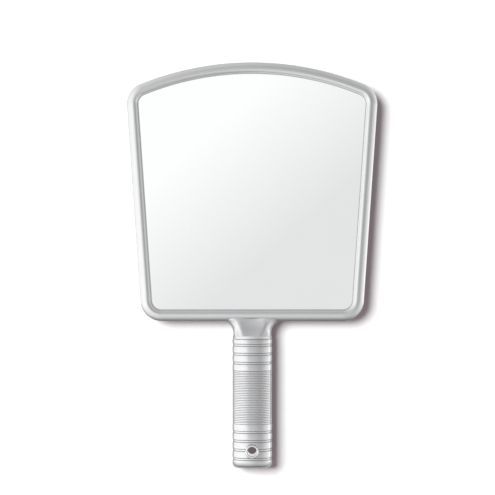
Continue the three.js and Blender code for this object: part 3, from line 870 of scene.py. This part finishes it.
def bright_plate():
    """Nickel plate with faint turning marks and rub marks."""
    paint = Paint("nickel_plate", Metallic=1.0, Coat_Weight=0.2, Coat_Roughness=0.05)
    worn = paint.noise(900, 4, 0.6)
    colour = paint.blend(worn, (0.55, 0.55, 0.543, 1), (0.63, 0.63, 0.622, 1))
    rough = paint.ranged(worn, 0.1, 0.24, 0.3, 0.75)
    marks = paint.bump(paint.noise(2600, 2), 0.08, 0.00003)
    return paint.feed(Base_Color=colour, Roughness=rough, Normal=marks)


def screw_steel():
    """Zinc-plated steel, dull and slightly mottled, with painted shade in the recess and the thread."""
    paint = Paint("zinc_steel", Metallic=1.0)
    mottle = paint.noise(1400, 5, 0.65)
    zinc = paint.blend(mottle, (0.42, 0.42, 0.43, 1), (0.58, 0.58, 0.585, 1))
    painted_shade_mask = paint.ranged(paint.crevice_shade(0.0012), 0.0, 1.0, 0.2, 0.8)
    # Painted shade: near black where the occlusion mask finds the recess or the thread.
    colour = paint.blend(painted_shade_mask, (0.12, 0.12, 0.12, 1), zinc)
    rough = paint.ranged(mottle, 0.25, 0.45, 0.3, 0.7)
    grit = paint.bump(paint.noise(4200, 3), 0.15, 0.00003)
    return paint.feed(Base_Color=colour, Roughness=rough, Normal=grit)


def vinyl_film():
    """Matt grey safety film with a fine embossed weave."""
    paint = Paint("safety_vinyl", Roughness=0.62)
    mottle = paint.noise(60, 3)
    colour = paint.blend(mottle, (0.17, 0.18, 0.19, 1), (0.21, 0.22, 0.23, 1))
    emboss = paint.bump(paint.noise(1800, 1), 0.3, 0.00005)
    return paint.feed(Base_Color=colour, Normal=emboss)


def cell_foam():
    """Closed-cell foam tape with open pores on its cut sides."""
    paint = Paint("pad_foam", Roughness=0.95)
    cells = paint.node("ShaderNodeTexVoronoi", {"Vector": paint.place, "Scale": 1500.0}).outputs["Distance"]
    colour = paint.blend(paint.ranged(cells, 0, 1, 0, 0.7), (0.58, 0.57, 0.52, 1), (0.74, 0.73, 0.68, 1))
    pores = paint.bump(cells, 0.5, 0.0002)
    return paint.feed(Base_Color=colour, Normal=pores)


def floor_paint():
    """Matt white studio board."""
    paint = Paint("studio_floor", Roughness=0.9)
    colour = paint.blend(paint.noise(9, 3), (0.86, 0.86, 0.86, 1), (0.88, 0.88, 0.88, 1))
    return paint.feed(Base_Color=colour)


def wall_paint():
    """Studio board that shows only from the front, so that the back of the mirror can be seen past it."""
    # Painted light: the wall gives off a faint glow of its own, which lightens the shadow on it.
    glow = (0.103, 0.087, 0.091, 1)
    paint = Paint("studio_wall", Roughness=0.95, Emission_Color=glow, Emission_Strength=1.0)
    colour = paint.blend(paint.noise(9, 3), (0.101, 0.077, 0.084, 1), (0.103, 0.079, 0.086, 1))
    paint.feed(Base_Color=colour)
    clear = paint.node("ShaderNodeBsdfTransparent")
    side = paint.node("ShaderNodeNewGeometry").outputs["Backfacing"]
    mix = paint.node("ShaderNodeMixShader")
    paint.links.new(side, mix.inputs[0])
    paint.links.new(paint.shader.outputs[0], mix.inputs[1])
    paint.links.new(clear.outputs[0], mix.inputs[2])
    paint.links.new(mix.outputs[0], paint.nodes["Material Output"].inputs["Surface"])
    return paint.material


# ---------------------------------------------------------------- object


def settle(piece, material, slot, *nodes):
    """Gives a piece its material and puts it in the place of its CAD nodes."""
    piece.data.materials.clear()
    piece.data.materials.append(material)
    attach(piece, "root")
    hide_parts(*nodes)


silver = silver_paint()
steel = screw_steel()
plated = bright_plate()

settle(make_bezel(), silver, "silver_paint", "front_bezel")
settle(make_cover(), silver, "silver_paint", "rear_cover")
settle(make_glass(), mirror_silver(), "silvered_glass", "mirror_glass")
screw_heights = [centre_of(screw_node).z for screw_node in HANDLE_SCREWS]
settle(make_front_shell(screw_heights), silver, "silver_paint", "handle_front_shell")
settle(make_back_shell(screw_heights), silver, "silver_paint", "handle_rear_shell")
settle(make_eyelet(), plated, "plated_metal", "hanging_eyelet")
settle(make_washer(), plated, "plated_metal", "eyelet_washer")
for screw_node in HANDLE_SCREWS + RIM_SCREWS:
    settle(make_screw(screw_node, screw_node + "_fine"), steel, "screw_steel", screw_node)

film_material = vinyl_film()
foam_material = cell_foam()
for node_name, cad_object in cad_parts.items():
    if node_name.startswith(("safety_film", "foam_pad")):
        wanted = film_material if node_name == "safety_film" else foam_material
        for material_slot in cad_object.material_slots:
            material_slot.material = wanted

# ---------------------------------------------------------------- studio

WALL_Y = 14.0
WALL_REACH = 1500
FLOOR_REACH = 2500
FLOOR_DROP = 11.0  # the mirror is held this far above the floor
FIELD = 386.0  # width of the picture at the mirror
LENS = 180.0
SENSOR = 36.0
VIEW_X = -3.6
VIEW_Z = 117.1

KEY_POWER = 40.0
KEY_COLOUR = (0.766, 1.0, 0.919)
KEY_SPREAD = 30.0  # degrees, so the shadow's edge is soft
KEY_ACROSS = 27.5  # degrees from straight in front, from the left
KEY_DOWN = 13.5  # degrees from level, from above

# Level of the studio's light from each side, at every 20 degrees from straight in front to straight behind.
LEFT_LIGHT = (1.0, 1.56, 1.76, 1.76, 1.72, 1.68, 1.58, 1.25, 0.85, 0.8)
RIGHT_LIGHT = (0.97, 0.72, 0.73, 1.0, 1.22, 1.45, 1.65, 1.6, 1.2, 1.0)
UPPER_LIGHT = (1.0, 1.08, 0.88, 0.98, 1.06, 1.08, 1.02, 0.97, 0.95, 0.95)
LOWER_LIGHT = (1.0, 1.04, 1.04, 0.92, 0.72, 0.52, 0.4, 0.42, 0.55, 0.9)
BEHIND_LEVEL = 0.6
AHEAD_TILT = (0.664, 0.0, -0.747)  # the glass is brightest towards its upper left


def make_board(name, corners, paint):
    """A flat board that reflections and bounced light don't see."""
    board = mesh_object(name, corners, [(0, 1, 2, 3)])
    board.data.materials.append(paint)
    board.visible_glossy = False
    board.visible_diffuse = False
    return board


def make_stage():
    """The floor under the mirror and the wall close behind it."""
    foot = HANDLE_END - FLOOR_DROP
    far = FLOOR_REACH
    floor = make_board(
        "floor",
        [(-far, -far, foot), (far, -far, foot), (far, far, foot), (-far, far, foot)],
        floor_paint(),
    )
    side = WALL_REACH
    wall = make_board(
        "wall",
        [(-side, WALL_Y, foot), (side, WALL_Y, foot), (side, WALL_Y, side), (-side, WALL_Y, side)],
        wall_paint(),
    )
    if wall.data.polygons[0].normal.y > 0:
        wall.data.flip_normals()
    wall.visible_transmission = False
    wall.visible_shadow = False
    return floor, wall


def make_key(boards):
    """A soft sun from the upper left, which lights only the boards and throws the shadow."""
    lamp = bpy.data.lights.new("key", "SUN")
    lamp.energy = KEY_POWER
    lamp.color = KEY_COLOUR
    lamp.angle = math.radians(KEY_SPREAD)
    light = bpy.data.objects.new("key", lamp)
    towards = Vector((math.tan(math.radians(KEY_ACROSS)), 1, -math.tan(math.radians(KEY_DOWN))))
    light.rotation_mode = "QUATERNION"
    light.rotation_quaternion = towards.to_track_quat("-Z", "Y")
    bpy.context.scene.collection.objects.link(light)
    group = bpy.data.collections.new("boards")
    for board in boards:
        group.objects.link(board)
    light.light_linking.receiver_collection = group


class Sky:
    """The studio round the mirror, as a smooth pattern of light by direction."""

    def __init__(self):
        world = bpy.data.worlds.new("studio")
        bpy.context.scene.world = world
        world.use_nodes = True
        self.nodes = world.node_tree.nodes
        self.links = world.node_tree.links

    def node(self, kind, *inputs, **settings):
        made = self.nodes.new(kind)
        for key, value in settings.items():
            setattr(made, key, value)
        for index, value in enumerate(inputs):
            plug(self.links, made, index, value)
        return made

    def math(self, operation, *inputs):
        return self.node("ShaderNodeMath", *inputs, operation=operation).outputs[0]

    def ranged(self, source, start, end, low, high, kind="LINEAR"):
        values = (source, start, end, low, high)
        return self.node("ShaderNodeMapRange", *values, interpolation_type=kind).outputs[0]

    def eased(self, source, start, end, low=0.0, high=1.0):
        return self.ranged(source, start, end, low, high, "SMOOTHSTEP")

    def ramp(self, source, *levels):
        """Levels at even steps of 20 degrees away from straight in front, joined smoothly."""
        made = self.node("ShaderNodeValToRGB", source)
        made.color_ramp.interpolation = "CARDINAL"
        stops = made.color_ramp.elements
        while len(stops) < len(levels):
            stops.new(0.5)
        for i, level in enumerate(levels):
            stops[i].position = i / (len(levels) - 1)
            stops[i].color = (level / 2, level / 2, level / 2, 1)
        return self.math("MULTIPLY", made.outputs[0], 2)

    def mix(self, factor, a, b):
        made = self.node("ShaderNodeMix")
        for index, value in ((0, factor), (2, a), (3, b)):
            plug(self.links, made, index, value)
        return made.outputs[0]

    def all_sides(self, x, z, front):
        """Light from the four sides, blended by how far a direction leans towards each."""
        away = self.math("DIVIDE", self.math("ARCCOSINE", front), math.pi)
        left = self.ramp(away, *LEFT_LIGHT)
        right = self.ramp(away, *RIGHT_LIGHT)
        above = self.math("MULTIPLY", self.ramp(away, *UPPER_LIGHT), self.eased(x, -0.2, 0.2, 1.12, 0.92))
        below = self.math("MULTIPLY", self.ramp(away, *LOWER_LIGHT), self.eased(x, -0.03, 0.035, 1.18, 0.88))
        level_side = self.mix(self.eased(x, -0.02, 0.02), left, right)
        upright_side = self.mix(self.eased(z, -0.02, 0.02), below, above)
        xx = self.math("MULTIPLY", x, x)
        zz = self.math("MULTIPLY", z, z)
        total = self.math("ADD", self.math("ADD", xx, zz), 1e-5)
        return self.mix(self.math("DIVIDE", zz, total), level_side, upright_side)

    def by_height(self, x, z):
        """More light from just below level than from just above, and less difference on the far left."""
        far_left = self.ranged(z, -0.09, 0.0, 1.22, 1.07)
        elsewhere = self.ranged(z, -0.045, 0.055, 1.2, 0.89)
        return self.mix(self.ranged(x, -0.6, -0.25, 0, 1), far_left, elsewhere)

    def behind(self, z, front):
        """Less light from behind and below, so that the mirror's back shows its own grey."""
        share = self.math("MULTIPLY", self.eased(front, -0.3, -0.6), self.eased(z, -0.12, -0.2))
        return self.ranged(share, 0, 1, 1, BEHIND_LEVEL)

    def with_ahead(self, level, way, z, front):
        """The pattern straight in front, which the glass reflects: an even slope of light."""
        tilt = self.node("ShaderNodeVectorMath", way, AHEAD_TILT, operation="DOT_PRODUCT").outputs["Value"]
        slope = self.ranged(tilt, -0.045, 0.0085, 1.055, 0.826)
        lower = self.ranged(z, -0.05, -0.028, 0.35, 1.0)
        share = self.math("MULTIPLY", self.eased(front, 0.972, 0.9955), lower)
        return self.mix(share, level, slope)

    def build(self):
        """Lights the scene with the pattern. The camera itself sees plain white."""
        way = self.node("ShaderNodeTexCoord").outputs["Generated"]
        x, y, z = self.node("ShaderNodeSeparateXYZ", way).outputs
        front = self.math("MULTIPLY", y, -1)
        level = self.math("MULTIPLY", self.all_sides(x, z, front), self.by_height(x, z))
        level = self.math("MULTIPLY", level, self.behind(z, front))
        level = self.with_ahead(level, way, z, front)
        seen = self.node("ShaderNodeLightPath").outputs["Is Camera Ray"]
        light = self.node("ShaderNodeBackground", (1, 1, 1, 1), level)
        white = self.node("ShaderNodeBackground", (1, 1, 1, 1), 1.0)
        mix = self.node("ShaderNodeMixShader", seen, light.outputs[0], white.outputs[0])
        self.links.new(mix.outputs[0], self.nodes["World Output"].inputs["Surface"])


def make_camera():
    """A long lens, level and straight in front."""
    data = bpy.data.cameras.new("camera")
    data.lens = LENS
    data.sensor_width = SENSOR
    data.clip_end = 100
    camera = bpy.data.objects.new("camera", data)
    distance = FIELD / 2 / (SENSOR / 2 / LENS)
    camera.location = Vector((VIEW_X, RIM_CREST_Y - distance, VIEW_Z)) * MM
    camera.rotation_euler = (math.pi / 2, 0, 0)
    bpy.context.scene.collection.objects.link(camera)
    bpy.context.scene.camera = camera


make_key(make_stage())
Sky().build()
make_camera()
bpy.context.scene.view_settings.view_transform = "Standard"
